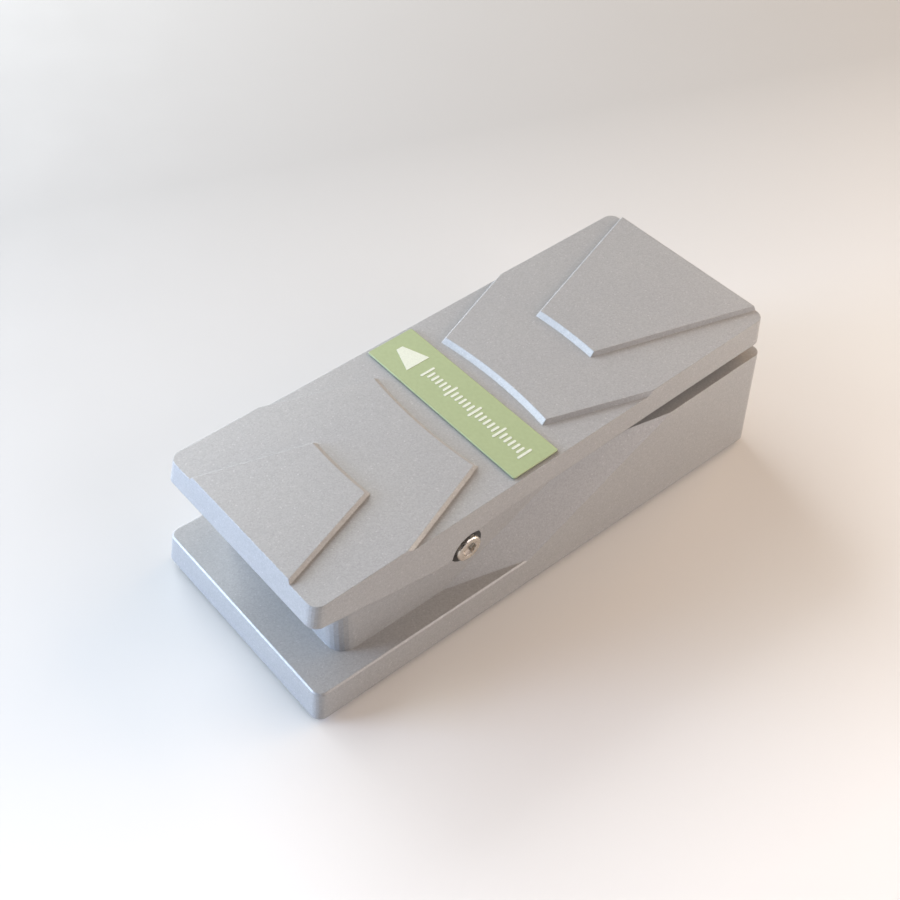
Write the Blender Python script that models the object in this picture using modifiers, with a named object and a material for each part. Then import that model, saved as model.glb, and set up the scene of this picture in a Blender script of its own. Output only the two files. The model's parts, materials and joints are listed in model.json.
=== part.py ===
"""Compact volume pedal: a cast base, a rocking treadle and the parts that the treadle drives.

Frame: +X is the player's right, +Y points to the toe end, +Z is up. The origin is on the
floor, under the middle of the pedal. Dimensions are in millimetres, from the middle of the
base's lower edge, and become metres when a mesh is made; the last lines stand the pedal on
its feet. The pedal is modelled at rest with the toe down.
"""

import math

import bmesh
import bpy
from mathutils import Matrix, Vector

MM = 0.001
GAP = 0.3                       # clearance between pieces that touch

# ---- overall -----------------------------------------------------------------------------
FOOT_LIFT = 1.5                 # underside of the base above the floor
CENTRE_Y = 1.63                 # middle of the length, jacks included, from the base's middle
BASE_HALF_W = 38.5              # base half width at its lower edge
BASE_HALF_L = 93.37             # base half length at its lower edge
SIDE_DRAFT = 0.075              # how much each wall leans in, mm per mm of height
HEEL_DRAFT = 0.083
TOE_DRAFT = 0.052
CORNER_R = 3.0
EDGE = 0.45                     # small bright chamfer on the outer edges
PLATE_T = 10.96                 # heel plate thickness
TAP_R = 1.5                     # tapped hole for an M3 or M2.5 screw
THREAD_R = 1.2                  # shank that goes into it

# ---- room inside the base ----------------------------------------------------------------
BELOW = -2.0                    # where a cutter that opens the underside starts
COVER_SEAT_Z = 1.8              # recess that takes the bottom cover
COVER_T = 1.5
PLATE_ROOM_Z = 7.5              # height of the hollow inside the heel plate
PLATE_ROOM_HALF_W = 34.3
PLATE_ROOM_HEEL_Y = -88.6
CORE_ROOM_HALF_W = 25.5
CORE_ROOM_HEEL_Y = -76.4
CORE_ROOM_HEEL_Z = 24.6
TOE_ROOM_HALF_W = 31.8
TOE_ROOM_START_Y = 51.0
ROOM_TOE_Y = 87.5
POST_R = 3.6                    # posts for the cover's screws
POST_TOP = 9.8
POST_TAP_TOP = 8.0
COVER_SCREWS = [(x, y) for y in (-83.5, 0.0, 83.0) for x in (30.0, -30.0)]
FEET = [(x, y) for y in (-70.0, 70.0) for x in (24.0, -24.0)]
FOOT_R = 6.5

# ---- deck and core -----------------------------------------------------------------------
DECK_Z = 37.05                  # deck height above the lower edge, at y = DECK_Y
DECK_Y = 46.5
DECK_SLOPE = 0.04
DECK_T = 3.0
CORE_HALF_W = 31.18             # narrow core under the treadle, at its lower edge
CORE_HEEL_Y = -79.9
CORE_R = 5.5
RIDGE_Y = -46.0                 # the core's top falls away from here to the heel
RIDGE_SLOPE = 0.152

# slanted facet between the core's wall and the full-width wall: three points on it
FACET_OUT = (37.68, -12.0, 10.96)
FACET_TOP = (35.77, 45.6, 36.34)
FACET_IN = (30.36, -40.9, 10.96)

# ---- pivot -------------------------------------------------------------------------------
PIVOT_Y = -36.4
PIVOT_Z = 31.0
TILT = math.radians(2.62)       # treadle slope at rest, toe up
TRAVEL = math.radians(15.0)     # heel-down travel
BOSS_R = 6.3
BOSS_START = 23.5
BOSS_END = 30.9
AXLE_R = 3.5
AXLE_END = 30.6
AXLE_TAP_R = 2.5                # threaded ends of the axle
AXLE_TAP_START = 21.6
WASHER_R = 5.8                  # black fibre washer behind each pivot screw's head
WASHER_T = 2.0
HEAD_START = BOSS_END + 2 * GAP + WASHER_T
HEAD_T = 1.5
HEAD_R = 4.35
SHANK_R = 2.2
SOCKET_R = 2.60                 # hexagon socket, across its corners
SOCKET_FLOOR = HEAD_START + 0.3
THRUST_X = (22.6, 23.4)         # nylon washer between a lug's bush and a boss
BUSH_R = 5.0
BUSH_FLANGE_R = 6.6
BUSH_FLANGE_T = 0.9
LUG_X = (15.0, 21.0)            # the treadle's two lugs, from the middle
LUG_R = 8.6
LUG_ROOM_X = 23.8               # opening in the core that the lugs reach down into
LUG_ROOM_Y = 10.5

# ---- treadle, in its own frame: u along its length, w up, both from the pivot --------------
TOP_W = 16.1                    # the low centre band
STEP = 1.4                      # height of each raised layer
TREADLE_HALF_W = 34.49          # half width at the centre band's level
TREADLE_HEEL_U = -54.1
TREADLE_TOE_U = 126.2
RIM_W = 7.85                    # lower edge of the side rims in the toe half
CEILING_W = 12.4                # underside of the top plate
POCKET_X = 31.2
NOTCH_R = 7.4
ARC_R = 155.0                   # curved ends of the raised layers
RISER_RUN = 1.6                 # their sloped faces
SIDE_RUN = 0.25
OUTER_CORNERS = (22.6, 11.1, 39.8)    # low band: half width, heel and toe ends of the step
OUTER_SPREAD = (0.347, 40.0)          # how its sides run outwards from the corners
INNER_CORNERS = (12.0, -19.7, 70.4)   # the same for the middle layer
INNER_SPREAD = (0.314, 62.0)
RELIEF_MARGIN = 60.0            # how far the low areas' cutters reach past the sides
TREADLE_HEEL_DRAFT = 0.21
POCKET_U = (-51.2, 122.4)
RIBS_U = (34.0, 92.0, 116.0)
RIB_HALF_T = 1.5
RIB_LOW = RIM_W + 0.4
LABEL_HALF_W = 33.2
LABEL_U = (17.2, 34.7)
LABEL_T = 0.45
LABEL_EDGE = 0.1
INTO_WALL = 0.5                 # how far ribs and lugs run into the wall they grow from

# ---- gear drive --------------------------------------------------------------------------
MODULE = 0.7
RACK_TEETH = 160                # teeth of the full circle that the rack is cut from
PINION_TEETH = 14
MESH_ANGLE = math.radians(-6.0)
CENTRE_DISTANCE = 61.2
RACK_PITCH_R = MODULE * RACK_TEETH / 2
PINION_PITCH_R = MODULE * PINION_TEETH / 2
TOOTH_ROOT = 1.15               # depth under and height over the pitch circle, in modules
TOOTH_TIP = 0.95
TOOTH_ROOT_HALF = 0.30          # half widths at the root and the tip, in pitches
TOOTH_TIP_HALF = 0.11
RACK_BACK_R = 55.2              # plain outer edge above the teeth
RACK_INNER_R = 50.0
RACK_HALF_T = 2.0
RACK_FOOT_T = 3.6
RACK_FOOT_U = (42.6, 62.6)
RACK_SCREWS_U = (46.0, 59.2)

# ---- jacks -------------------------------------------------------------------------------
JACK_X = (-22.0, 0.0, 22.0)
JACK_Z = 19.0
JACK_HALF_W = 7.3
JACK_HALF_H = 8.5
JACK_Y = (63.5, 86.8)
JACK_END_Y = 96.6
SLEEVE_R = 4.6
PLUG_R = 3.25
PLUG_FLOOR_Y = 67.0
SPOTFACE_Y = 91.9
SPOTFACE_R = 8.4

# ---- potentiometer -----------------------------------------------------------------------
POT_Y = PIVOT_Y + CENTRE_DISTANCE * math.cos(MESH_ANGLE)
POT_Z = PIVOT_Z + CENTRE_DISTANCE * math.sin(MESH_ANGLE)
POT_SHAFT_R = 2.7
POT_NECK_R = 3.6
POT_R = 6.2
PINION_HALF_T = 3.0
HUB_R = 4.6
HUB_END = 5.4
SET_SCREW_X = 4.2
BRACKET_X = (10.0, 11.5)
BRACKET_Y = (12.5, 36.5)
BRACKET_SCREWS = [(17.0, 16.0), (17.0, 33.0)]
FLANGE_T = 1.5

# ---- circuit board -----------------------------------------------------------------------
BOARD_LOW = (-23.0, 38.0, 8.0)
BOARD_HIGH = (23.0, 61.0, 9.6)
BOARD_FIXINGS = [(x, y) for y in (41.5, 57.5) for x in (19.5, -19.5)]

# ---- stops -------------------------------------------------------------------------------
TOE_STOP_HALF = (20.0, 3.5)
TOE_STOP_GAP = GAP + 0.2        # clearance above and below it at rest
HEEL_STOP_Y = -74.5
HEEL_STOP_HALF = (18.0, 3.2, 0.85)

OBJECT_NAME = "volume_pedal"
SIDES = (("right", 1), ("left", -1))


# ---- scene and collections ---------------------------------------------------------------
for old in list(bpy.data.objects):
    bpy.data.objects.remove(old, do_unlink=True)


def collection(name):
    found = bpy.data.collections.get(name) or bpy.data.collections.new(name)
    if name not in bpy.context.scene.collection.children:
        bpy.context.scene.collection.children.link(found)
    return found


PARTS = collection(OBJECT_NAME)
CUTTERS = collection("cutters")


def material(name, colour, roughness, metallic=0.0):
    mat = bpy.data.materials.new(name)
    mat.use_nodes = True
    shader = mat.node_tree.nodes["Principled BSDF"]
    shader.inputs["Base Color"].default_value = (*colour, 1.0)
    shader.inputs["Roughness"].default_value = roughness
    shader.inputs["Metallic"].default_value = metallic
    mat.diffuse_color = (*colour, 1.0)
    return mat


CAST = material("cast_silver", (0.50, 0.50, 0.50), 0.5, 0.35)
LIME = material("lime_label", (0.40, 0.58, 0.12), 0.45)
STEEL = material("bright_steel", (0.72, 0.69, 0.65), 0.25, 1.0)
SHEET = material("cover_sheet", (0.42, 0.42, 0.43), 0.45, 0.8)
BRONZE = material("bearing_bronze", (0.55, 0.36, 0.17), 0.4, 1.0)
RUBBER = material("black_rubber", (0.02, 0.02, 0.02), 0.8)
NYLON = material("white_nylon", (0.75, 0.74, 0.70), 0.5)
BLACK = material("black_plastic", (0.025, 0.025, 0.025), 0.5)
BOARD = material("green_board", (0.02, 0.16, 0.07), 0.45)


# ---- mesh helpers ------------------------------------------------------------------------
def finish(name, bm, mat, cutter=False):
    """Turn a bmesh in millimetres into an object in metres."""
    bmesh.ops.recalc_face_normals(bm, faces=bm.faces)
    bmesh.ops.scale(bm, vec=Vector((MM, MM, MM)), verts=bm.verts)
    mesh = bpy.data.meshes.new(name)
    bm.to_mesh(mesh)
    bm.free()
    obj = bpy.data.objects.new(name, mesh)
    if cutter:
        CUTTERS.objects.link(obj)
        obj.hide_render = True
        obj.display_type = "WIRE"
    else:
        PARTS.objects.link(obj)
    mesh.materials.append(mat)
    return obj


def join_rings(bm, rings):
    """Skin a list of rings of points and cap both ends."""
    rows = [[bm.verts.new(p) for p in ring] for ring in rings]
    count = len(rows[0])
    for low, high in zip(rows, rows[1:]):
        for i in range(count):
            j = (i + 1) % count
            bm.faces.new((low[i], low[j], high[j], high[i]))
    bm.faces.new(list(reversed(rows[0])))
    bm.faces.new(rows[-1])


def loft(rings):
    bm = bmesh.new()
    join_rings(bm, rings)
    return bm


def box_mesh(low, high, bevel=0.0):
    bm = bmesh.new()
    bmesh.ops.create_cube(bm, size=1.0)
    size = Vector(high) - Vector(low)
    centre = (Vector(high) + Vector(low)) / 2
    bmesh.ops.scale(bm, vec=size, verts=bm.verts)
    bmesh.ops.translate(bm, vec=centre, verts=bm.verts)
    if bevel:
        bmesh.ops.bevel(bm, geom=list(bm.edges), offset=bevel, segments=1, affect="EDGES")
    return bm


AXIS_TURN = {
    "x": Matrix.Rotation(math.pi / 2, 4, "Y"),
    "y": Matrix.Rotation(-math.pi / 2, 4, "X"),
    "z": Matrix.Identity(4),
}


def cylinder_mesh(radius, start, end, centre, axis, sides=32, top_radius=None):
    """A cylinder or cone along an axis, from start to end on it; centre gives the other two."""
    bm = bmesh.new()
    bmesh.ops.create_cone(bm, cap_ends=True, segments=sides, radius1=radius,
                          radius2=radius if top_radius is None else top_radius,
                          depth=end - start)
    bmesh.ops.transform(bm, matrix=AXIS_TURN[axis], verts=bm.verts)
    middle = (start + end) / 2
    place = {"x": (middle, centre[0], centre[1]),
             "y": (centre[0], middle, centre[1]),
             "z": (centre[0], centre[1], middle)}[axis]
    bmesh.ops.translate(bm, vec=Vector(place), verts=bm.verts)
    return bm


def prism_mesh(outline, start, end, axis="x"):
    """Extrude a flat outline. For axis x the outline is (y, z), for axis z it is (x, y)."""
    def place(point, along):
        if axis == "x":
            return (along, point[0], point[1])
        return (point[0], point[1], along)
    return loft([[place(p, start) for p in outline], [place(p, end) for p in outline]])


def runs_upward(profile):
    """True if the outer side of a section is listed from the bottom to the top."""
    pairs = zip(profile, profile[1:] + profile[:1])
    return sum(a[0] * b[1] - b[0] * a[1] for a, b in pairs) > 0


def turned(name, profile, centre, axis, mat, steps=32):
    """A turned piece: a profile of (radius, height), spun by a Screw modifier. The profile
    either starts and ends on the axis or is a closed ring off the axis."""
    mesh = bpy.data.meshes.new(name)
    if runs_upward(profile):
        profile = profile[::-1]
    points = [(r * MM, 0.0, h * MM) for r, h in profile]
    count = len(points)
    on_axis = profile[0][0] == 0.0 and profile[-1][0] == 0.0
    edges = [(i, (i + 1) % count) for i in range(count - 1 if on_axis else count)]
    mesh.from_pydata(points, edges, [])
    obj = bpy.data.objects.new(name, mesh)
    PARTS.objects.link(obj)
    mesh.materials.append(mat)
    spin = obj.modifiers.new("turn", "SCREW")
    spin.steps = steps
    spin.render_steps = steps
    spin.use_merge_vertices = True
    spin.merge_threshold = 0.00001
    obj.matrix_world = Matrix.Translation(Vector(centre) * MM) @ AXIS_TURN[axis]
    return obj


def ring_profile(inner, outer, low, high):
    """A ring's section, down its outer side and up its inner side."""
    return [(outer, high), (outer, low), (inner, low), (inner, high)]


def boolean(target, tool, operation="DIFFERENCE"):
    mod = target.modifiers.new(operation.lower(), "BOOLEAN")
    mod.operation = operation
    mod.solver = "EXACT"
    mod.object = tool


def cut(target, name, bm):
    boolean(target, finish(name, bm, CAST, cutter=True))


def join(target, name, bm):
    boolean(target, finish(name, bm, CAST, cutter=True), "UNION")


def bake(obj):
    """Replace an object's mesh by the result of its modifiers."""
    graph = bpy.context.evaluated_depsgraph_get()
    graph.update()
    mesh = bpy.data.meshes.new_from_object(obj.evaluated_get(graph))
    obj.modifiers.clear()
    obj.data = mesh


def chamfer_rim(obj, width, picks):
    """Chamfer the edges that a test on an edge picks."""
    bm = bmesh.new()
    bm.from_mesh(obj.data)
    bmesh.ops.dissolve_limit(bm, angle_limit=0.002, verts=bm.verts, edges=bm.edges)
    edges = [e for e in bm.edges if len(e.link_faces) == 2 and picks(e)]
    bmesh.ops.bevel(bm, geom=edges, offset=width * MM, segments=1, affect="EDGES",
                    clamp_overlap=True)
    bm.to_mesh(obj.data)
    bm.free()


def smooth(obj, angle=35.0):
    obj.data.shade_smooth()
    obj.data.set_sharp_from_angle(angle=math.radians(angle))


def rounded_rect(half_w, y0, y1, radius, inset=0.0, segments=6):
    """A rounded rectangle in plan, counter-clockwise from the right-hand heel corner."""
    half_w, y0, y1 = half_w - inset, y0 + inset, y1 - inset
    radius = max(radius - inset, 0.2)
    corners = ((half_w - radius, y0 + radius, -90), (half_w - radius, y1 - radius, 0),
               (-half_w + radius, y1 - radius, 90), (-half_w + radius, y0 + radius, 180))
    points = []
    for cx, cy, start in corners:
        for k in range(segments + 1):
            a = math.radians(start + 90 * k / segments)
            points.append((cx + radius * math.cos(a), cy + radius * math.sin(a)))
    return points


def hexagon(radius, centre):
    return [(centre[0] + radius * math.cos(k * math.pi / 3),
             centre[1] + radius * math.sin(k * math.pi / 3)) for k in range(6)]


def facing(side):
    """Half a turn about the upright axis for a piece on the left."""
    return Matrix.Identity(4) if side > 0 else Matrix.Rotation(math.pi, 4, "Z")


def slice_off(bm, point, normal):
    """Cut a convex solid by a plane, drop the side that the normal points to, close it."""
    geom = list(bm.verts) + list(bm.edges) + list(bm.faces)
    result = bmesh.ops.bisect_plane(bm, geom=geom, dist=1e-5, plane_co=Vector(point),
                                    plane_no=Vector(normal), clear_outer=True)
    rim = [g for g in result["geom_cut"] if isinstance(g, bmesh.types.BMEdge)]
    bmesh.ops.contextual_create(bm, geom=rim)


def deck_height(y):
    return DECK_Z + DECK_SLOPE * (y - DECK_Y)


def base_ring(z, half_w, y0, y1, radius, inset=0.0):
    return [(x, y, z) for x, y in rounded_rect(half_w, y0, y1, radius, inset)]


# ---- base --------------------------------------------------------------------------------
def heel_plate_mesh():
    def ring(z, inset=0.0):
        return base_ring(z, BASE_HALF_W - SIDE_DRAFT * z, -BASE_HALF_L + HEEL_DRAFT * z,
                         BASE_HALF_L - TOE_DRAFT * z, CORNER_R, inset)
    return loft([ring(0.0, EDGE), ring(EDGE), ring(PLATE_T - EDGE), ring(PLATE_T, EDGE)])


def facet_plane(side):
    points = [Vector((side * p[0], p[1], p[2])) for p in (FACET_OUT, FACET_TOP, FACET_IN)]
    normal = (points[1] - points[0]).cross(points[2] - points[0]).normalized()
    if normal.x * side < 0:
        normal = -normal
    return points[0], normal


def toe_housing_mesh():
    """The full-width body of the toe end, sliced by the deck and by both facets."""
    def ring(z):
        return base_ring(z, BASE_HALF_W - SIDE_DRAFT * z, -43.0,
                         BASE_HALF_L - TOE_DRAFT * z, CORNER_R)
    bm = loft([ring(5.0), ring(45.0)])
    slice_off(bm, (0, DECK_Y, DECK_Z), (0, -DECK_SLOPE, 1))
    for side in (1, -1):
        point, normal = facet_plane(side)
        slice_off(bm, point, normal)
    return bm


def core_mesh():
    def ring(z):
        return base_ring(z, CORE_HALF_W - SIDE_DRAFT * z, CORE_HEEL_Y, 10.0, CORE_R)
    bm = loft([ring(6.6), ring(42.0)])
    slice_off(bm, (0, DECK_Y, DECK_Z), (0, -DECK_SLOPE, 1))
    slice_off(bm, (0, RIDGE_Y, deck_height(RIDGE_Y)), (0, -RIDGE_SLOPE, 1))
    return bm


def build_base():
    base = finish("base_body", heel_plate_mesh(), CAST)
    join(base, "join_toe_housing", toe_housing_mesh())
    join(base, "join_core", core_mesh())

    hollow_base(base)
    add_cover_posts(base)
    add_pivot_bosses(base)
    for i, x in enumerate(JACK_X):
        cut(base, f"cut_spotface_{i + 1}",
            cylinder_mesh(SPOTFACE_R, SPOTFACE_Y, 99.0, (x, JACK_Z), "y", 36))
        cut(base, f"cut_jack_hole_{i + 1}",
            cylinder_mesh(SLEEVE_R + 0.4, 80.0, 99.0, (x, JACK_Z), "y", 32))
    for i, (x, y) in enumerate(BRACKET_SCREWS):
        cut(base, f"cut_bracket_screw_{i + 1}",
            cylinder_mesh(TAP_R, 28.0, deck_height(y) - 1.0, (x, y), "z", 16))
    bake(base)
    smooth(base)


def hollow_base(base):
    """The room inside the core, the wider room behind the jacks, and the cover's recess."""
    def ceiling(y):
        return (y, deck_height(y) - DECK_T)

    core_room = [(CORE_ROOM_HEEL_Y, BELOW), (ROOM_TOE_Y, BELOW), ceiling(ROOM_TOE_Y),
                 ceiling(RIDGE_Y), (CORE_ROOM_HEEL_Y, CORE_ROOM_HEEL_Z)]
    cut(base, "cut_core_room", prism_mesh(core_room, -CORE_ROOM_HALF_W, CORE_ROOM_HALF_W))
    toe_room = [(TOE_ROOM_START_Y, BELOW), (ROOM_TOE_Y, BELOW), ceiling(ROOM_TOE_Y),
                ceiling(TOE_ROOM_START_Y)]
    cut(base, "cut_toe_room", prism_mesh(toe_room, -TOE_ROOM_HALF_W, TOE_ROOM_HALF_W))
    cut(base, "cut_plate_room",
        box_mesh((-PLATE_ROOM_HALF_W, PLATE_ROOM_HEEL_Y, BELOW),
                 (PLATE_ROOM_HALF_W, ROOM_TOE_Y, PLATE_ROOM_Z)))
    cut(base, "cut_cover_seat",
        loft([base_ring(z, 36.2, -91.0, 91.0, 2.5) for z in (BELOW, COVER_SEAT_Z)]))


def add_cover_posts(base):
    for i, (x, y) in enumerate(COVER_SCREWS):
        join(base, f"join_post_{i + 1}",
             cylinder_mesh(POST_R, COVER_SEAT_Z, POST_TOP, (x, y), "z", 20))
        cut(base, f"cut_post_{i + 1}",
            cylinder_mesh(TAP_R, BELOW, POST_TAP_TOP, (x, y), "z", 16))


def add_pivot_bosses(base):
    """Bosses that hold the axle, and the openings for the treadle's lugs and rack."""
    for name, side in SIDES:
        start, end = sorted((side * BOSS_START, side * BOSS_END))
        join(base, f"join_boss_{name}",
             cylinder_mesh(BOSS_R, start, end, (PIVOT_Y, PIVOT_Z), "x", 36))
    cut(base, "cut_axle_bore",
        cylinder_mesh(AXLE_R + GAP, -40.0, 40.0, (PIVOT_Y, PIVOT_Z), "x", 32))
    cut(base, "cut_lug_opening",
        box_mesh((-LUG_ROOM_X, PIVOT_Y - LUG_ROOM_Y, 24.0),
                 (LUG_ROOM_X, PIVOT_Y + LUG_ROOM_Y, 45.0)))
    cut(base, "cut_rack_opening", box_mesh((-4.5, 9.5, 26.0), (4.5, 23.5, 45.0)))


def build_bottom():
    cover = finish("bottom_cover",
                   loft([base_ring(z, 35.9, -90.7, 90.7, 2.2) for z in (0.0, COVER_T)]), SHEET)
    for i, (x, y) in enumerate(COVER_SCREWS):
        cut(cover, f"cut_cover_sink_{i + 1}",
            cylinder_mesh(3.4, -0.01, 1.2, (x, y), "z", 20, top_radius=2.0))
        cut(cover, f"cut_cover_hole_{i + 1}",
            cylinder_mesh(TAP_R + 0.1, BELOW, 3.0, (x, y), "z", 16))
    for i, (x, y) in enumerate(BOARD_FIXINGS):
        cut(cover, f"cut_spacer_hole_{i + 1}",
            cylinder_mesh(THREAD_R, BELOW, 3.0, (x, y), "z", 12))
    bake(cover)

    for i, (x, y) in enumerate(COVER_SCREWS):
        profile = [(0.0, 6.5), (1.15, 6.5), (1.15, 1.15), (2.75, -0.05), (1.3, -0.05),
                   (1.3, 0.55), (0.0, 0.55)]
        turned(f"cover_screw_{i + 1}", profile, (x, y, 0.0), "z", STEEL, 16)
    for i, (x, y) in enumerate(FEET):
        profile = [(0.0, -GAP), (FOOT_R, -GAP), (FOOT_R, -0.9), (FOOT_R - 0.6, -FOOT_LIFT),
                   (0.0, -FOOT_LIFT)]
        turned(f"rubber_foot_{i + 1}", profile, (x, y, 0.0), "z", RUBBER, 24)


# ---- treadle -----------------------------------------------------------------------------
def treadle_ring(w, inset=0.0):
    drop = TOP_W - w
    outline = rounded_rect(TREADLE_HALF_W + SIDE_DRAFT * drop, TREADLE_HEEL_U - TREADLE_HEEL_DRAFT * drop,
                           TREADLE_TOE_U + TOE_DRAFT * drop, CORNER_R + 0.4, inset)
    return [(x, u, w) for x, u in outline]


def layer_end(half_chord, u_end, direction, segments):
    """The curved end of a raised layer, from its right corner to its left corner. The middle
    of the arc lies further from the treadle's centre band than its corners."""
    sag = ARC_R - math.sqrt(ARC_R ** 2 - half_chord ** 2)
    points = []
    for k in range(segments + 1):
        x = half_chord * (1 - 2 * k / segments)
        bow = math.sqrt(ARC_R ** 2 - x ** 2) - (ARC_R - sag)
        points.append((x, u_end + direction * bow))
    return points


def relief_end(half_chord, u_end, direction, spread, segments):
    """One end of a low area: its arc, and the two sides that run outwards from it."""
    slope, reach = spread
    x, u = half_chord + slope * reach, u_end + direction * reach
    return [(x, u)] + layer_end(half_chord, u_end, direction, segments) + [(-x, u)]


def relief_ring(w, corners, spread, run, side_run, segments):
    """Plan outline of the area left low between the heel layer and the toe layer."""
    half_chord, heel_u, toe_u = corners
    heel = relief_end(half_chord + side_run, heel_u + run, -1, spread, segments)
    toe = relief_end(half_chord + side_run, toe_u - run, 1, spread, segments)
    outline = (toe + [(-RELIEF_MARGIN, toe[-1][1]), (-RELIEF_MARGIN, heel[-1][1])]
               + heel[::-1] + [(RELIEF_MARGIN, heel[0][1]), (RELIEF_MARGIN, toe[0][1])])
    return [(x, u, w) for x, u in outline]


def relief_mesh(low_w, corners, spread, segments):
    def ring(w, run, side_run):
        return relief_ring(w, corners, spread, run, side_run, segments)
    return loft([ring(low_w, RISER_RUN, SIDE_RUN), ring(low_w + STEP, 0.0, 0.0),
                 ring(low_w + 6.0, 0.0, 0.0)])


def lower_edge_outline():
    """Side view of what is cut away under the treadle's rims, with the pivot's notch."""
    arc = [(NOTCH_R * math.cos(math.radians(a)), NOTCH_R * math.sin(math.radians(a)))
           for a in range(166, 58, -9)]
    left = [(-70.0, 12.95), (-12.4, 1.45), (-9.6, 1.2), (-8.3, 1.3)]
    right = [(4.6, 7.1), (6.4, 7.55), (9.0, RIM_W), (140.0, RIM_W)]
    return left + arc + right + [(140.0, -20.0), (-70.0, -20.0)]


def build_treadle():
    rings = [treadle_ring(w) for w in (-2.0, 19.5)]
    treadle = finish("treadle", loft(rings), CAST)
    cut(treadle, "cut_inner_relief",
        relief_mesh(TOP_W + STEP, INNER_CORNERS, INNER_SPREAD, 6))
    cut(treadle, "cut_outer_relief", relief_mesh(TOP_W, OUTER_CORNERS, OUTER_SPREAD, 10))
    cut(treadle, "cut_top", box_mesh((-60, -80, TOP_W + 2 * STEP), (60, 140, 30)))
    cut(treadle, "cut_lower_edge", prism_mesh(lower_edge_outline(), -50.0, 50.0))
    bake(treadle)
    chamfer_rim(treadle, EDGE, on_rim)
    cut(treadle, "cut_pocket",
        loft([base_ring(w, POCKET_X, *POCKET_U, 2.0) for w in (-10.0, CEILING_W)]))
    for i, u in enumerate(RIBS_U):
        join(treadle, f"join_rib_{i + 1}",
             box_mesh((-POCKET_X - INTO_WALL, u - RIB_HALF_T, RIB_LOW),
                      (POCKET_X + INTO_WALL, u + RIB_HALF_T, CEILING_W + INTO_WALL)))
    for name, side in SIDES:
        start, end = sorted((side * LUG_X[0], side * LUG_X[1]))
        join(treadle, f"join_lug_{name}", prism_mesh(lug_outline(), start, end))
    cut(treadle, "cut_lug_bores",
        cylinder_mesh(BUSH_R + GAP, -30.0, 30.0, (0.0, 0.0), "x", 32))
    for i, u in enumerate(RACK_SCREWS_U):
        cut(treadle, f"cut_rack_screw_{i + 1}",
            cylinder_mesh(TAP_R, 5.0, CEILING_W + 2.2, (0.0, u), "z", 16))
    smooth(treadle)
    return treadle


def on_rim(edge):
    """True for the convex edges between the treadle's top faces and its outer side faces."""
    tops = [f for f in edge.link_faces if f.normal.z > 0.99]
    sides = [f for f in edge.link_faces if abs(f.normal.z) < 0.3]
    if not tops or not sides or edge.calc_face_angle_signed(0.0) < 0.9:
        return False
    middle = (edge.verts[0].co + edge.verts[1].co) / (2 * MM)
    reach = CORNER_R + 1.0
    if middle.y < TREADLE_HEEL_U + reach or middle.y > TREADLE_TOE_U - reach:
        return True
    return abs(middle.x) > TREADLE_HALF_W - reach and abs(sides[0].normal.x) > 0.98


def lug_outline():
    arc = [(LUG_R * math.cos(math.radians(a)), LUG_R * math.sin(math.radians(a)))
           for a in range(180, 361, 15)]
    top = CEILING_W + INTO_WALL
    return arc + [(LUG_R, top), (-LUG_R, top)]


def build_label():
    """The thin printed plate that lies in the low band, with a fine chamfer on its top."""
    def ring(height, inset=0.0):
        return base_ring(TOP_W + GAP + height, LABEL_HALF_W, LABEL_U[0] + inset,
                         LABEL_U[1] - inset, 0.6, inset)
    return finish("label_plate",
                  loft([ring(0.0), ring(LABEL_T - LABEL_EDGE), ring(LABEL_T, LABEL_EDGE)]),
                  LIME)


# ---- gear drive --------------------------------------------------------------------------
def tooth_points(angle, pitch_r, pitch_angle):
    """The four corners of one tooth, as (angle, radius)."""
    root, tip = pitch_r - TOOTH_ROOT * MODULE, pitch_r + TOOTH_TIP * MODULE
    at_root, at_tip = TOOTH_ROOT_HALF * pitch_angle, TOOTH_TIP_HALF * pitch_angle
    return [(angle - at_root, root), (angle - at_tip, tip),
            (angle + at_tip, tip), (angle + at_root, root)]


def rack_outline():
    """Side view of the curved rack, in the treadle's frame: teeth outside, smooth inside."""
    pitch = 2 * math.pi / RACK_TEETH
    mesh = MESH_ANGLE - TILT
    points = []
    for k in range(-9, 3):
        points += tooth_points(mesh + k * pitch, RACK_PITCH_R, pitch)
    foot_w = CEILING_W - RACK_FOOT_T + 0.2
    last = points[-1][0]
    top = math.asin(foot_w / RACK_BACK_R)
    points += [(last + (top - last) * k / 4, RACK_BACK_R) for k in range(1, 5)]
    first = points[0][0]
    top = math.asin(foot_w / RACK_INNER_R)
    points += [(top + (first - top) * k / 8, RACK_INNER_R) for k in range(9)]
    return [(r * math.cos(a), r * math.sin(a)) for a, r in points]


def build_rack():
    rack = finish("gear_rack", prism_mesh(rack_outline(), -RACK_HALF_T, RACK_HALF_T), NYLON)
    join(rack, "join_rack_foot",
         box_mesh((-2 * RACK_HALF_T, RACK_FOOT_U[0], CEILING_W - RACK_FOOT_T),
                  (2 * RACK_HALF_T, RACK_FOOT_U[1], CEILING_W - GAP)))
    for i, u in enumerate(RACK_SCREWS_U):
        cut(rack, f"cut_rack_hole_{i + 1}",
            cylinder_mesh(TAP_R, 5.0, 15.0, (0.0, u), "z", 16))
    return rack


def build_rack_screws():
    seat = CEILING_W - RACK_FOOT_T - GAP
    profile = [(0.0, CEILING_W + 1.9), (THREAD_R, CEILING_W + 1.9), (THREAD_R, seat),
               (2.5, seat), (2.5, seat - 1.5), (0.0, seat - 1.5)]
    return [turned(f"rack_screw_{i + 1}", profile, (0, u, 0), "z", STEEL, 16)
            for i, u in enumerate(RACK_SCREWS_U)]


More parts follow.
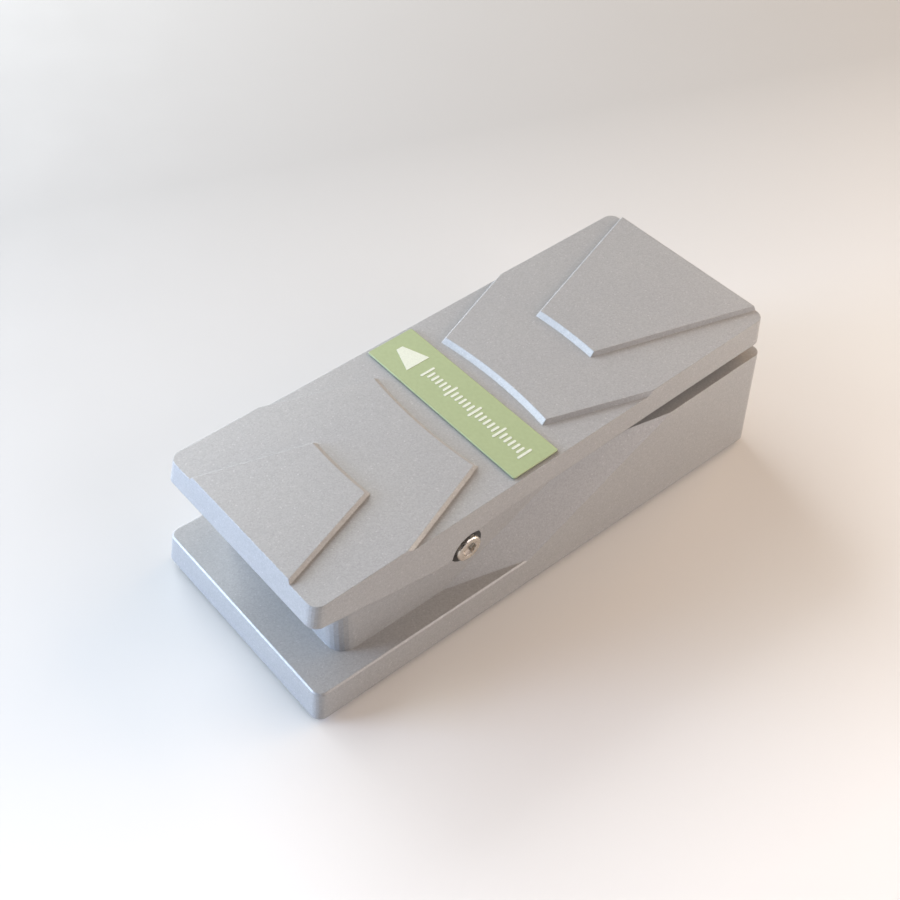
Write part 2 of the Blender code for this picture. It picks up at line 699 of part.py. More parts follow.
def build_bushes():
    """Flanged bushes in the lugs, their flanges outwards."""
    start, end = LUG_X[0] - GAP, LUG_X[1] + GAP
    bore, face = AXLE_R + GAP, end + BUSH_FLANGE_T
    profile = [(BUSH_FLANGE_R, face), (BUSH_FLANGE_R, end), (BUSH_R, end), (BUSH_R, start),
               (bore, start), (bore, face)]
    bushes = []
    for name, side in SIDES:
        bush = turned(f"pivot_bush_{name}", profile, (0, 0, 0), "x", BRONZE, 32)
        bush.matrix_world = facing(side) @ bush.matrix_world
        bushes.append(bush)
    return bushes


def build_treadle_group():
    """Everything that rocks with the treadle, under an empty on the hinge's axis."""
    pivot = bpy.data.objects.new("treadle_pivot", None)
    CUTTERS.objects.link(pivot)
    earlier = {o.name for o in CUTTERS.objects}
    moved = [build_treadle(), build_label(), build_rack()]
    moved += build_bushes() + build_rack_screws()
    pivot.matrix_world = (Matrix.Translation(Vector((0, PIVOT_Y, PIVOT_Z)) * MM)
                          @ Matrix.Rotation(TILT, 4, "X"))
    tools = [o for o in CUTTERS.objects if o.name not in earlier]
    for obj in moved + tools:
        world = obj.matrix_world.copy()
        obj.parent = pivot
        obj.matrix_basis = world


# ---- pivot hardware ----------------------------------------------------------------------
def pivot_screw_profile():
    """A low domed head, whose rim is rounded, and its shank."""
    face = HEAD_START + HEAD_T
    return [(0.0, face - 0.25), (HEAD_R - 0.75, face), (HEAD_R - 0.25, face - 0.1),
            (HEAD_R, face - 0.45), (HEAD_R, HEAD_START), (SHANK_R, HEAD_START),
            (SHANK_R, AXLE_TAP_START + 0.4), (0.0, AXLE_TAP_START + 0.4)]


def build_pivot():
    place = (0, PIVOT_Y, PIVOT_Z)
    to_pivot = Matrix.Translation(Vector(place) * MM)
    washer_profile = ring_profile(SHANK_R + GAP, WASHER_R, BOSS_END + GAP,
                                  BOSS_END + GAP + WASHER_T)
    thrust_profile = ring_profile(AXLE_R + GAP, WASHER_R + 0.4, *THRUST_X)
    for name, side in SIDES:
        screw = turned(f"pivot_screw_{name}", pivot_screw_profile(), (0, 0, 0), "x", STEEL, 40)
        washer = turned(f"pivot_washer_{name}", washer_profile, (0, 0, 0), "x", BLACK, 40)
        thrust = turned(f"thrust_washer_{name}", thrust_profile, (0, 0, 0), "x", NYLON, 32)
        for obj in (screw, washer, thrust):
            obj.matrix_world = to_pivot @ facing(side) @ obj.matrix_world
        socket = finish(f"cut_socket_{name}",
                        prism_mesh(hexagon(SOCKET_R, (0, 0)), SOCKET_FLOOR, 36.0),
                        STEEL, cutter=True)
        socket.matrix_world = to_pivot @ facing(side)
        boolean(screw, socket)
    half = [(0.0, AXLE_TAP_START), (AXLE_TAP_R, AXLE_TAP_START), (AXLE_TAP_R, AXLE_END),
            (AXLE_R, AXLE_END)]
    turned("pivot_axle", half + [(r, -x) for r, x in reversed(half)], place, "x", STEEL, 32)


# ---- potentiometer -----------------------------------------------------------------------
def build_pinion():
    """The pinion, in mesh with the rack, on its hub, with the set screw that holds it."""
    place = (0, POT_Y, POT_Z)
    pitch = 2 * math.pi / PINION_TEETH
    toward_pivot = math.pi + MESH_ANGLE
    teeth = []
    for k in range(PINION_TEETH):
        teeth += tooth_points(toward_pivot + (k + 0.5) * pitch, PINION_PITCH_R, pitch)
    outline = [(r * math.cos(a), r * math.sin(a)) for a, r in teeth]
    pinion = finish("pinion", prism_mesh(outline, -PINION_HALF_T, PINION_HALF_T), NYLON)
    join(pinion, "join_pinion_hub",
         cylinder_mesh(HUB_R, PINION_HALF_T - 0.5, HUB_END, (0, 0), "x", 28))
    cut(pinion, "cut_pinion_bore",
        cylinder_mesh(POT_SHAFT_R + GAP, -5.0, 8.0, (0, 0), "x", 24))
    cut(pinion, "cut_set_screw", cylinder_mesh(0.9, 0.0, 8.0, (SET_SCREW_X, 0.0), "z", 12))
    for piece in [pinion] + [m.object for m in pinion.modifiers]:
        piece.location = Vector(place) * MM
    turned("pinion_set_screw", [(0.0, 5.2), (0.6, 5.2), (0.6, 3.1), (0.0, 3.1)],
           (SET_SCREW_X, POT_Y, POT_Z), "z", STEEL, 12)


def build_pot():
    place = (0, POT_Y, POT_Z)
    turned("pot_shaft", [(0.0, 13.2), (POT_SHAFT_R, 13.2), (POT_SHAFT_R, -3.6),
                         (POT_SHAFT_R - 0.3, -4.0), (0.0, -4.0)], place, "x", STEEL, 24)
    can, bore = BRACKET_X[1] + GAP, POT_SHAFT_R + GAP
    body = turned("pot_body",
                  [(0.0, 20.0), (POT_R, 20.0), (POT_R, can), (POT_NECK_R, can),
                   (POT_NECK_R, 6.2), (bore, 6.2), (bore, 13.6), (0.0, 13.6)],
                  place, "x", SHEET, 36)
    for k in (-1, 0, 1):
        lug_y = POT_Y + 3.8 * k
        join(body, f"join_pot_lug_{k + 2}",
             box_mesh((13.6, lug_y - 0.9, POT_Z - 12.0), (14.2, lug_y + 0.9, POT_Z - 3.0)))
    turned("pot_washer", ring_profile(POT_NECK_R + GAP, 5.8, 9.1, BRACKET_X[0] - GAP),
           place, "x", STEEL, 28)
    nut = finish("pot_nut", prism_mesh(hexagon(5.7, (POT_Y, POT_Z)), 7.0, 8.8), STEEL)
    cut(nut, "cut_pot_nut",
        cylinder_mesh(POT_NECK_R + GAP, 5.0, 10.0, (POT_Y, POT_Z), "x", 28))


def build_bracket():
    """An L of sheet: a web that holds the potentiometer and a flange under the deck."""
    (x0, x1), (y0, y1) = BRACKET_X, BRACKET_Y
    middle_y = (y0 + y1) / 2
    half_t = FLANGE_T / 2
    bracket = finish("pot_bracket", box_mesh((x0, y0, 14.5), (x1, y1, 30.5)), SHEET)
    flange = box_mesh((-5.5, y0 - middle_y + 0.5, -half_t), (5.5, y1 - middle_y - 0.5, half_t))
    tilt = Matrix.Rotation(math.atan(DECK_SLOPE), 4, "X")
    under_deck = deck_height(middle_y) - DECK_T - GAP - half_t - 0.03
    bmesh.ops.transform(flange, matrix=Matrix.Translation((x0 + 5.5, middle_y, under_deck)) @ tilt,
                        verts=flange.verts)
    join(bracket, "join_flange", flange)
    join(bracket, "join_bracket_bend",
         box_mesh((x0, y0 + 0.5, 29.5), (x1, y1 - 0.5, deck_height(y0) - DECK_T - 1.2)))
    cut(bracket, "cut_pot_hole",
        cylinder_mesh(POT_NECK_R + GAP, 5.0, 15.0, (POT_Y, POT_Z), "x", 28))
    for i, (x, y) in enumerate(BRACKET_SCREWS):
        cut(bracket, f"cut_flange_hole_{i + 1}",
            cylinder_mesh(TAP_R, 25.0, 36.0, (x, y), "z", 16))
        tip = deck_height(y) - 1.4
        seat = deck_height(y) - DECK_T - FLANGE_T - GAP - 0.5
        profile = [(0.0, tip), (THREAD_R, tip), (THREAD_R, seat), (2.5, seat),
                   (2.5, seat - 1.5), (0.0, seat - 1.5)]
        turned(f"bracket_screw_{i + 1}", profile, (x, y, 0.0), "z", STEEL, 16)


# ---- jacks -------------------------------------------------------------------------------
SWAP_Y_AND_Z = Matrix(((1, 0, 0, 0), (0, 0, 1, 0), (0, 1, 0, 0), (0, 0, 0, 1)))


def build_jack(name, x):
    body = finish(f"jack_{name}_body",
                  box_mesh((x - JACK_HALF_W, JACK_Y[0], JACK_Z - JACK_HALF_H),
                           (x + JACK_HALF_W, JACK_Y[1], JACK_Z + JACK_HALF_H), 0.6), BLACK)
    join(body, f"join_sleeve_{name}",
         cylinder_mesh(SLEEVE_R, JACK_Y[1] - 2.8, JACK_END_Y, (x, JACK_Z), "y", 32))
    cut(body, f"cut_plug_bore_{name}",
        cylinder_mesh(PLUG_R, PLUG_FLOOR_Y, 99.0, (x, JACK_Z), "y", 28))
    washer_top = SPOTFACE_Y + 1.1
    turned(f"jack_{name}_washer",
           ring_profile(SLEEVE_R + GAP, 7.6, SPOTFACE_Y + GAP, washer_top),
           (x, 0, JACK_Z), "y", STEEL, 36)
    nut_start = washer_top + GAP
    flat_nut = prism_mesh(hexagon(7.2, (x, JACK_Z)), nut_start, nut_start + 2.2, "z")
    bmesh.ops.transform(flat_nut, matrix=SWAP_Y_AND_Z, verts=flat_nut.verts)
    nut = finish(f"jack_{name}_nut", flat_nut, STEEL)
    cut(nut, f"cut_nut_{name}",
        cylinder_mesh(SLEEVE_R + GAP, 80.0, 99.0, (x, JACK_Z), "y", 32))


# ---- circuit board -----------------------------------------------------------------------
def build_board():
    board = finish("circuit_board", box_mesh(BOARD_LOW, BOARD_HIGH), BOARD)
    top = BOARD_HIGH[2]
    rest = top + GAP
    for i, (x, y) in enumerate(BOARD_FIXINGS):
        cut(board, f"cut_board_hole_{i + 1}",
            cylinder_mesh(1.4, 5.0, 12.0, (x, y), "z", 16))
        turned(f"board_spacer_{i + 1}",
               ring_profile(1.4, 2.8, COVER_SEAT_Z, BOARD_LOW[2] - GAP), (x, y, 0.0), "z",
               BRONZE, 6)
        profile = [(0.0, rest + 1.4), (2.3, rest + 1.4), (2.3, rest), (1.1, rest),
                   (1.1, 4.0), (0.0, 4.0)]
        turned(f"board_screw_{i + 1}", profile, (x, y, 0.0), "z", STEEL, 16)
    finish("board_chip", box_mesh((-5.0, 46.0, rest), (5.0, 52.5, rest + 3.3)), BLACK)
    for i, x in enumerate((-11.5, 11.5)):
        turned(f"board_capacitor_{i + 1}",
               [(0.0, rest + 8.7), (2.7, rest + 8.7), (3.0, rest + 8.4), (3.0, rest),
                (0.0, rest)], (x, 49.5, 0.0), "z", BLACK, 20)


# ---- stops -------------------------------------------------------------------------------
def build_toe_stop():
    """A rubber bar on the deck, under the treadle's last rib."""
    toe_u = RIBS_U[-1]
    y = PIVOT_Y + toe_u * math.cos(TILT) - RIB_LOW * math.sin(TILT)
    rib_z = PIVOT_Z + toe_u * math.sin(TILT) + RIB_LOW * math.cos(TILT)
    half_x, half_y = TOE_STOP_HALF
    finish("toe_stop", box_mesh((-half_x, y - half_y, deck_height(y) + TOE_STOP_GAP),
                                (half_x, y + half_y, rib_z - TOE_STOP_GAP), 0.6), RUBBER)


def build_heel_stop():
    """A thinner bar on the sloping heel end of the core."""
    core_z = deck_height(RIDGE_Y) + RIDGE_SLOPE * (HEEL_STOP_Y - RIDGE_Y)
    slope = math.atan(RIDGE_SLOPE)
    low = tuple(-side for side in HEEL_STOP_HALF)
    pad = box_mesh(low, HEEL_STOP_HALF, 0.5)
    centre = Vector((0.0, HEEL_STOP_Y, core_z + HEEL_STOP_HALF[2] / math.cos(slope) + GAP))
    place = Matrix.Translation(centre) @ Matrix.Rotation(slope, 4, "X")
    bmesh.ops.transform(pad, matrix=place, verts=pad.verts)
    finish("heel_stop", pad, RUBBER)


build_base()
build_bottom()
build_treadle_group()
build_pivot()
build_pinion()
build_pot()
build_bracket()
for jack_name, jack_x in zip(("tuner", "output", "input"), JACK_X):
    build_jack(jack_name, jack_x)
build_board()
build_toe_stop()
build_heel_stop()

# the whole pedal stands on its feet, centred on the origin
bpy.context.view_layer.update()
stand = Matrix.Translation(Vector((0.0, -CENTRE_Y, FOOT_LIFT)) * MM)
for obj in list(PARTS.objects) + list(CUTTERS.objects):
    if obj.parent is None:
        obj.matrix_world = stand @ obj.matrix_world
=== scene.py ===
"""The looks of the volume pedal: materials, printed label, screws, floor, light and camera."""

import json
import math

import bmesh
import bpy
from mathutils import Matrix, Vector


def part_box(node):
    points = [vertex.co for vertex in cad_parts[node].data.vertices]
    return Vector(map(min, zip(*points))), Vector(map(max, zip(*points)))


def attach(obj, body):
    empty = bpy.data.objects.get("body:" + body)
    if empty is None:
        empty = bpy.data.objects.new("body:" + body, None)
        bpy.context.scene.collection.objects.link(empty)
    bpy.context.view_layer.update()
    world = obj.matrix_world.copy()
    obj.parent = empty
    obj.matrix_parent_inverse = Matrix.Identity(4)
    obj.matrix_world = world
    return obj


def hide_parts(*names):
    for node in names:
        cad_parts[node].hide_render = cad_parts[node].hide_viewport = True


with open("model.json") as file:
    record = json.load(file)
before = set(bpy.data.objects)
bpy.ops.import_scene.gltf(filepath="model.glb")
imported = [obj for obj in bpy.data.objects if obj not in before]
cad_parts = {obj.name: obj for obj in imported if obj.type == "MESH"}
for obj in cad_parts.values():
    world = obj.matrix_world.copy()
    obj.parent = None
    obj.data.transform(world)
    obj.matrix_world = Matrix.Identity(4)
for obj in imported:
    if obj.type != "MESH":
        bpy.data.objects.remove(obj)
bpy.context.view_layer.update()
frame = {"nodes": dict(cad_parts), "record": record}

# ---- sizes, in metres -----------------------------------------------------------------------
TREADLE_TILT = math.radians(2.62)  # the slope of the treadle's top at rest

INK = 0.00006  # thickness of the label's print
INK_GAP = 0.00003  # the print lies just clear of the label's face
WEDGE = [(-0.0285, -0.0012), (-0.0195, -0.0045), (-0.0195, 0.0045), (-0.0285, 0.0012)]
TICKS = 25
FIRST_TICK_X = -0.0150
TICK_PITCH = 0.0018
TICK_HALF_WIDTH = 0.00042
TICK_HALF_LENGTH = 0.0016
LONG_TICK_HALF_LENGTH = 0.0028
LONG_TICK_EVERY = 6
ROUND_END_STEPS = 6

COVER_SCREWS = 6
SCREW_STEPS = 40
HEAD_EDGE = 0.00012  # height of the head's rim over its flat face
HEAD_DEPTH = 0.0013
TIP_LENGTH = 0.0004
HEAD_FACE, SHANK_TOP, SHANK_FOOT, TIP = 0.93, 0.45, 0.42, 0.3  # shares of the head's radius
RECESS_ARM, RECESS_HALF_WIDTH = 0.56, 0.13  # shares of the head's radius
RECESS_LOW, RECESS_DEPTH = -0.001, 0.0009
SCREW_TURN = math.radians(37)  # makes each screw stop at its own angle

FLOOR_HALF_SIDE = 3.0
FLOOR_DROP = 0.00005

CAMERA_AT = Vector((0.19444, -0.21045, 0.31557))
CAMERA_AZIMUTH = math.radians(44.85)
CAMERA_ELEVATION = math.radians(46.01)
CAMERA_ROLL = math.radians(5.73)
CAMERA_LENS = 51.32  # millimetres
CAMERA_SENSOR = 36.0  # millimetres
CAMERA_CLIP = 0.01

ROOM_COLOUR = (1.0, 0.96, 0.92)
ROOM_STRENGTH = 0.03
LIGHTS = [  # name, place, side, watts, colour
    ("window", (-0.62, -0.62, 0.42), 0.70, 7.6, (0.87, 0.97, 1.00)),
    ("left_wall", (-0.95, 0.05, 0.45), 0.70, 12.4, (0.93, 0.97, 1.00)),
    ("low_window", (-0.45, -0.75, 0.14), 0.35, 9.2, (0.50, 0.66, 1.00)),
    ("lamp", (0.45, 0.62, 0.22), 0.50, 3.0, (1.00, 0.88, 0.75)),
    ("far_wall", (0.10, 0.95, 0.65), 0.80, 6.2, (1.00, 0.68, 0.40)),
    ("right_wall", (0.74, 0.25, 0.48), 0.60, 3.2, (1.00, 0.92, 0.93)),
    ("ceiling", (-0.20, -0.10, 1.50), 1.60, 3.2, (1.00, 0.92, 0.90)),
]


# ---- node helpers ---------------------------------------------------------------------------
NOISE_RANGE = (0.3, 0.7)  # most values of a noise texture lie between these


class Shader:
    """A small wrapper that adds nodes to one material and joins them."""

    def __init__(self, name, colour, roughness, metallic=0.0):
        self.mat = bpy.data.materials.new(name)
        self.mat.use_nodes = True
        self.tree = self.mat.node_tree
        self.bsdf = self.tree.nodes["Principled BSDF"]
        self.set("Base Color", (*colour, 1.0))
        self.set("Roughness", roughness)
        self.set("Metallic", metallic)
        self.coords = self.add("ShaderNodeTexCoord").outputs["Object"]
        self.normal = None

    def set(self, socket, value):
        self.bsdf.inputs[socket].default_value = value

    def add(self, kind, **values):
        node = self.tree.nodes.new(kind)
        for key, value in values.items():
            setattr(node, key, value)
        return node

    def link(self, out, into):
        self.tree.links.new(out, into)

    def mapped(self, **values):
        """Object coordinates, stretched or turned."""
        mapping = self.add("ShaderNodeMapping")
        for key, value in values.items():
            mapping.inputs[key].default_value = value
        self.link(self.coords, mapping.inputs["Vector"])
        return mapping.outputs["Vector"]

    def noise(self, scale, detail=2.0, rough=0.5, vector=None):
        node = self.add("ShaderNodeTexNoise")
        node.inputs["Scale"].default_value = scale
        node.inputs["Detail"].default_value = detail
        node.inputs["Roughness"].default_value = rough
        self.link(vector or self.coords, node.inputs["Vector"])
        return node.outputs["Fac"]

    def cells(self, scale):
        """A random colour for each small cell."""
        node = self.add("ShaderNodeTexVoronoi", feature="F1")
        node.inputs["Scale"].default_value = scale
        self.link(self.coords, node.inputs["Vector"])
        return node.outputs["Color"]

    def spread(self, value, low, high, new_low, new_high):
        node = self.add("ShaderNodeMapRange")
        for key, number in (("From Min", low), ("From Max", high),
                            ("To Min", new_low), ("To Max", new_high)):
            node.inputs[key].default_value = number
        self.link(value, node.inputs["Value"])
        return node.outputs["Result"]

    def ramp(self, value, *stops):
        """A colour ramp from (place, colour) stops."""
        node = self.add("ShaderNodeValToRGB")
        elements = node.color_ramp.elements
        while len(elements) < len(stops):
            elements.new(0.5)
        for element, (place, colour) in zip(elements, stops):
            element.position = place
            element.color = (*colour, 1.0)
        self.link(value, node.inputs["Fac"])
        return node.outputs["Color"]

    def multiply(self, first, second):
        node = self.add("ShaderNodeMix", data_type="RGBA", blend_type="MULTIPLY")
        sockets = {s.identifier: s for s in node.inputs}
        sockets["Factor_Float"].default_value = 1.0
        self.link(first, sockets["A_Color"])
        self.link(second, sockets["B_Color"])
        return next(s for s in node.outputs if s.identifier == "Result_Color")

    def base(self, colour):
        self.link(colour, self.bsdf.inputs["Base Color"])

    def rough(self, noise, smooth, dull):
        """Roughness that wanders between smooth and dull with a noise."""
        self.link(self.spread(noise, *NOISE_RANGE, smooth, dull), self.bsdf.inputs["Roughness"])

    def bump(self, value, strength, distance):
        node = self.add("ShaderNodeBump")
        node.inputs["Strength"].default_value = strength
        node.inputs["Distance"].default_value = distance
        self.link(value, node.inputs["Height"])
        if self.normal:
            self.link(self.normal, node.inputs["Normal"])
        self.normal = node.outputs["Normal"]
        self.link(self.normal, self.bsdf.inputs["Normal"])

    def soft_edges(self, radius):
        """Rounds the shading of sharp edges, as paint and casting do."""
        node = self.add("ShaderNodeBevel", samples=4)
        node.inputs["Radius"].default_value = radius
        self.normal = node.outputs["Normal"]
        self.link(self.normal, self.bsdf.inputs["Normal"])


def shade(colour, factor):
    return tuple(min(1.0, c * factor) for c in colour)


# ---- materials ------------------------------------------------------------------------------
def cast_paint():
    """Silver paint on cast metal: a sandy grain of small bright and dark flakes."""
    silver = (0.390, 0.388, 0.386)
    s = Shader("cast_paint", silver, 0.5, 0.22)
    s.soft_edges(0.00035)
    flakes = s.ramp(s.cells(2600.0), (0.0, shade(silver, 0.88)), (0.55, silver),
                    (0.86, shade(silver, 1.06)), (1.0, shade(silver, 1.30)))
    patches = s.ramp(s.noise(45.0, 4.0), (0.3, (0.97, 0.97, 0.98)), (0.7, (1.0, 1.0, 1.0)))
    s.base(s.multiply(flakes, patches))
    s.rough(s.noise(2200.0, 1.0), smooth=0.40, dull=0.58)
    s.bump(s.noise(1300.0, 3.0, 0.65), strength=0.50, distance=0.00010)
    s.bump(s.noise(160.0, 2.0), strength=0.06, distance=0.0005)
    s.set("Coat Weight", 0.12)
    s.set("Coat Roughness", 0.35)
    return s.mat


def label_sheet():
    lime = (0.345, 0.405, 0.225)
    s = Shader("label_sheet", lime, 0.42)
    s.soft_edges(0.0001)
    s.base(s.ramp(s.noise(900.0, 3.0), (0.25, shade(lime, 0.96)), (0.75, shade(lime, 1.05))))
    s.rough(s.noise(1400.0), smooth=0.36, dull=0.48)
    s.bump(s.noise(2500.0), strength=0.08, distance=0.00005)
    return s.mat


def print_white():
    white = (0.66, 0.69, 0.58)
    s = Shader("print_white", white, 0.5)
    s.base(s.ramp(s.noise(1800.0, 3.0), (0.3, shade(white, 0.90)), (0.6, white)))
    s.rough(s.noise(1500.0), smooth=0.42, dull=0.6)
    s.bump(s.noise(3000.0), strength=0.1, distance=0.00003)
    return s.mat


def plated_steel():
    steel = (0.74, 0.69, 0.63)
    s = Shader("plated_steel", steel, 0.24, 1.0)
    s.soft_edges(0.00012)
    s.base(s.ramp(s.noise(700.0, 3.0), (0.3, shade(steel, 0.93)), (0.65, steel)))
    s.rough(s.noise(1200.0, 3.0), smooth=0.20, dull=0.30)
    turned = s.noise(1.0, 2.0, 0.5, s.mapped(Scale=(300.0, 3200.0, 3200.0)))
    s.bump(turned, strength=0.04, distance=0.00001)
    return s.mat


def drawn_sheet():
    grey = (0.40, 0.40, 0.41)
    s = Shader("drawn_sheet", grey, 0.42, 0.85)
    s.soft_edges(0.0002)
    lines = s.noise(1.0, 4.0, 0.6, s.mapped(Scale=(2600.0, 40.0, 2600.0)))
    s.base(s.ramp(lines, (0.3, shade(grey, 0.86)), (0.7, shade(grey, 1.08))))
    s.rough(lines, smooth=0.34, dull=0.52)
    s.bump(lines, strength=0.12, distance=0.00003)
    return s.mat


def turned_brass():
    brass = (0.56, 0.36, 0.16)
    s = Shader("turned_brass", brass, 0.35, 1.0)
    lines = s.noise(1.0, 3.0, 0.5, s.mapped(Scale=(3000.0, 200.0, 200.0)))
    s.base(s.ramp(lines, (0.3, shade(brass, 0.85)), (0.7, brass)))
    s.rough(lines, smooth=0.26, dull=0.44)
    s.bump(lines, strength=0.12, distance=0.00002)
    return s.mat


def moulded_rubber():
    black = (0.028, 0.028, 0.029)
    s = Shader("moulded_rubber", black, 0.8)
    s.soft_edges(0.0003)
    s.base(s.ramp(s.noise(240.0, 4.0), (0.3, shade(black, 0.8)), (0.75, shade(black, 1.35))))
    s.rough(s.noise(900.0), smooth=0.70, dull=0.92)
    s.bump(s.noise(1500.0, 3.0), strength=0.25, distance=0.00008)
    return s.mat


def moulded_plastic(name, colour, smooth=0.38, dull=0.55):
    s = Shader(name, colour, 0.45)
    s.soft_edges(0.0002)
    s.base(s.ramp(s.noise(500.0, 3.0), (0.3, shade(colour, 0.9)), (0.7, shade(colour, 1.08))))
    s.rough(s.noise(1300.0), smooth, dull)
    s.bump(s.noise(1800.0, 2.0), strength=0.15, distance=0.00005)
    return s.mat


def solder_mask():
    """Green lacquer, lighter over the copper tracks."""
    green = (0.015, 0.14, 0.06)
    copper = shade(green, 2.0)
    s = Shader("solder_mask", green, 0.35)
    tracks = s.noise(1.0, 0.0, 0.5, s.mapped(Scale=(90.0, 420.0, 1.0)))
    s.base(s.ramp(tracks, (0.46, green), (0.49, copper), (0.56, copper), (0.59, green)))
    s.rough(s.noise(800.0), smooth=0.28, dull=0.42)
    s.bump(tracks, strength=0.15, distance=0.00005)
    return s.mat


def table_top():
    """A pale, dull table whose colour carries painted light and shade: darker on one side and
    lighter on the other, for how the room's light falls across it.
    """
    warm = (0.68, 0.672, 0.662)
    s = Shader("table_top", warm, 0.7)
    s.set("Specular IOR Level", 0.2)
    along = s.add("ShaderNodeSeparateXYZ")
    s.link(s.mapped(Rotation=(0.0, 0.0, math.radians(17))), along.inputs["Vector"])
    # painted light and shade: across the table the colour runs from 0.62 to 1.24 times the
    # table's own colour
    painted_light_across = s.spread(along.outputs["X"], -0.20, 0.15, 0.0, 1.0)
    s.base(s.ramp(painted_light_across, (0.0, shade(warm, 0.62)), (1.0, shade(warm, 1.24))))
    s.rough(s.noise(30.0), smooth=0.64, dull=0.76)
    s.bump(s.noise(700.0, 2.0), strength=0.03, distance=0.00005)
    return s.mat


MATERIALS = {
    "cast_silver": cast_paint(),
    "lime_label": label_sheet(),
    "bright_steel": plated_steel(),
    "sheet_steel": drawn_sheet(),
    "brass": turned_brass(),
    "black_rubber": moulded_rubber(),
    "white_nylon": moulded_plastic("white_nylon", (0.70, 0.69, 0.64)),
    "black_plastic": moulded_plastic("black_plastic", (0.025, 0.025, 0.027), 0.32, 0.5),
    "green_board": solder_mask(),
}


def dress_frame():
    for part in frame["record"]["subparts"]:
        node = frame["nodes"][part["node"]]
        node.data.materials.clear()
        node.data.materials.append(MATERIALS[part["material_slot"]])


# ---- pieces ---------------------------------------------------------------------------------
def add_object(name, data):
    obj = bpy.data.objects.new(name, data)
    bpy.context.scene.collection.objects.link(obj)
    return obj


def mesh_piece(name, bm, mat):
    bmesh.ops.recalc_face_normals(bm, faces=bm.faces)
    mesh = bpy.data.meshes.new(name)
    bm.to_mesh(mesh)
    bm.free()
    mesh.materials.append(mat)
    return add_object(name, mesh)


def add_walls(bm, lower, upper):
    """Side faces between two rings of the same number of vertices."""
    count = len(lower)
    for i in range(count):
        j = (i + 1) % count
        bm.faces.new((lower[i], lower[j], upper[j], upper[i]))


def add_slab(bm, outline, low, high):
    """A flat outline of (x, y) points, raised from low to high."""
    bottom = [bm.verts.new((x, y, low)) for x, y in outline]
    top = [bm.verts.new((x, y, high)) for x, y in outline]
    add_walls(bm, bottom, top)
    bm.faces.new(bottom[::-1])
    bm.faces.new(top)


def capsule(cx, cy, half_w, half_l):
    """Outline of a short bar with round ends, along Y."""
    points = []
    for side, start in ((1, 0), (-1, 180)):
        for k in range(ROUND_END_STEPS + 1):
            a = math.radians(start + 180 * k / ROUND_END_STEPS)
            points.append((cx + half_w * math.cos(a),
                           cy + side * (half_l - half_w) + half_w * math.sin(a)))
    return points


def label_face():
    """Where the middle of the label's face is, and how it slopes, as one matrix."""
    low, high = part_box("label_plate")
    half = (high.y - low.y) / 2 / math.cos(TREADLE_TILT)
    half_thick = (high.z - low.z - 2 * half * math.sin(TREADLE_TILT)) / 2
    tilt = Matrix.Rotation(TREADLE_TILT, 4, "X")
    normal = tilt @ Vector((0, 0, 1))
    return Matrix.Translation((low + high) / 2 + normal * (half_thick + INK_GAP)) @ tilt


def build_label_print():
    """A rising wedge, the usual sign for volume, and a plain scale of ticks in white ink."""
    bm = bmesh.new()
    add_slab(bm, WEDGE, 0.0, INK)
    for i in range(TICKS):
        x = FIRST_TICK_X + i * TICK_PITCH
        reach = TICK_HALF_LENGTH if i % LONG_TICK_EVERY else LONG_TICK_HALF_LENGTH
        add_slab(bm, capsule(x, 0.0, TICK_HALF_WIDTH, reach), 0.0, INK)
    bmesh.ops.transform(bm, matrix=label_face(), verts=bm.verts)
    obj = mesh_piece("label_print", bm, print_white())
    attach(obj, "rocker")


def screw_mesh(radius, height):
    """A countersunk head, a shank and a short tip, from the head's flat face up."""
    profile = [(HEAD_FACE, 0.0), (1.0, HEAD_EDGE), (SHANK_TOP, HEAD_DEPTH),
               (SHANK_FOOT, height - TIP_LENGTH), (TIP, height)]
    bm = bmesh.new()
    rings = []
    for share, z in profile:
        r = radius * share
        angles = [2 * math.pi * k / SCREW_STEPS for k in range(SCREW_STEPS)]
        rings.append([bm.verts.new((r * math.cos(a), r * math.sin(a), z)) for a in angles])
    for lower, upper in zip(rings, rings[1:]):
        add_walls(bm, lower, upper)
    bm.faces.new(rings[0][::-1])
    bm.faces.new(rings[-1])
    return bm


def cross_mesh(radius):
    """The cross-shaped driver that leaves the recess."""
    arm, width = radius * RECESS_ARM, radius * RECESS_HALF_WIDTH
    plus = [(arm, -width), (arm, width), (width, width), (width, arm), (-width, arm),
            (-width, width), (-arm, width), (-arm, -width), (-width, -width), (-width, -arm),
            (width, -arm), (width, -width)]
    bm = bmesh.new()
    add_slab(bm, plus, RECESS_LOW, RECESS_DEPTH)
    return bm


def cut_away(obj, tool):
    """Takes the tool's shape out of the object for good, and removes the tool."""
    cut = obj.modifiers.new("recess", "BOOLEAN")
    cut.operation = "DIFFERENCE"
    cut.solver = "EXACT"
    cut.object = tool
    graph = bpy.context.evaluated_depsgraph_get()
    whole = bpy.data.meshes.new_from_object(obj.evaluated_get(graph))
    obj.modifiers.clear()
    obj.data = whole
    bpy.data.objects.remove(tool)


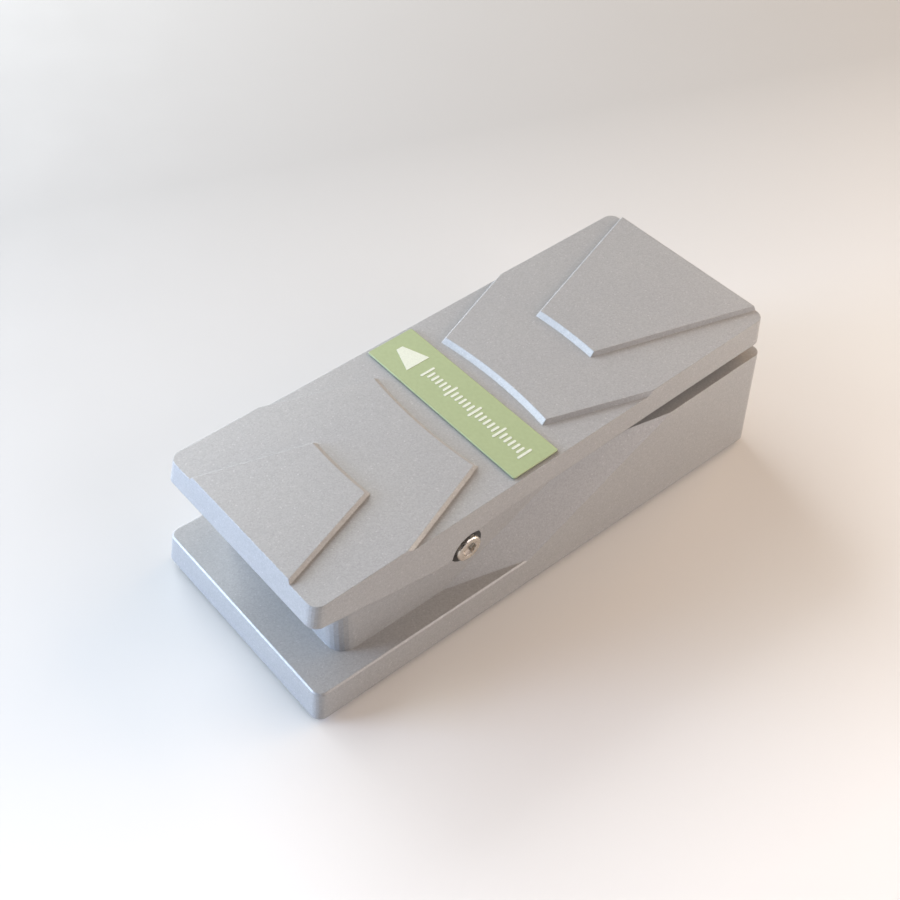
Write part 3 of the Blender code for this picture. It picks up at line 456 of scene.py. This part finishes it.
def cross_screw(name, node, body):
    """A countersunk screw with a cross recess, in place of a plain CAD screw seen from below."""
    low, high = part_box(node)
    cx, cy = (low.x + high.x) / 2, (low.y + high.y) / 2
    radius = (high.x - low.x) / 2
    steel = MATERIALS["bright_steel"]
    screw = mesh_piece(name, screw_mesh(radius, high.z - low.z), steel)
    cut_away(screw, mesh_piece(name + "_tool", cross_mesh(radius), steel))
    screw.data.shade_smooth()
    screw.data.set_sharp_from_angle(angle=math.radians(30))
    screw.location = (cx, cy, low.z)
    screw.rotation_euler = (0, 0, SCREW_TURN * (cx * 1000 + cy * 700))
    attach(screw, body)
    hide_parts(node)


# ---- floor, light and camera ----------------------------------------------------------------
def build_floor():
    bm = bmesh.new()
    bmesh.ops.create_grid(bm, x_segments=2, y_segments=2, size=FLOOR_HALF_SIDE)
    floor = mesh_piece("floor", bm, table_top())
    floor.location.z = -FLOOR_DROP


def area_light(name, place, side, watts, colour):
    """A square light that faces the pedal."""
    data = bpy.data.lights.new(name, "AREA")
    data.shape = "SQUARE"
    data.size = side
    data.energy = watts
    data.color = colour
    lamp = add_object(name, data)
    lamp.location = place
    lamp.rotation_mode = "QUATERNION"
    lamp.rotation_quaternion = (-Vector(place)).to_track_quat("-Z", "Y")


def build_light():
    for light in LIGHTS:
        area_light(*light)
    world = bpy.data.worlds.new("room")
    bpy.context.scene.world = world
    world.use_nodes = True
    background = world.node_tree.nodes["Background"]
    background.inputs["Color"].default_value = (*ROOM_COLOUR, 1.0)
    background.inputs["Strength"].default_value = ROOM_STRENGTH


def build_camera():
    a, e, roll = CAMERA_AZIMUTH, CAMERA_ELEVATION, CAMERA_ROLL
    forward = Vector((-math.sin(a) * math.cos(e), math.cos(a) * math.cos(e), -math.sin(e)))
    level = Vector((math.cos(a), math.sin(a), 0.0))
    upright = level.cross(forward)
    right = level * math.cos(roll) + upright * math.sin(roll)
    up = upright * math.cos(roll) - level * math.sin(roll)
    data = bpy.data.cameras.new("camera")
    data.lens = CAMERA_LENS
    data.sensor_width = CAMERA_SENSOR
    data.clip_start = CAMERA_CLIP
    camera = add_object("camera", data)
    turn = Matrix((right, up, -forward)).transposed().to_4x4()
    camera.matrix_world = Matrix.Translation(CAMERA_AT) @ turn
    bpy.context.scene.camera = camera


dress_frame()
build_label_print()
for number in range(1, COVER_SCREWS + 1):
    cross_screw(f"cover_cross_screw_{number}", f"cover_screw_{number}", "chassis")
build_floor()
build_light()
build_camera()
bpy.context.scene.view_settings.view_transform = "Standard"
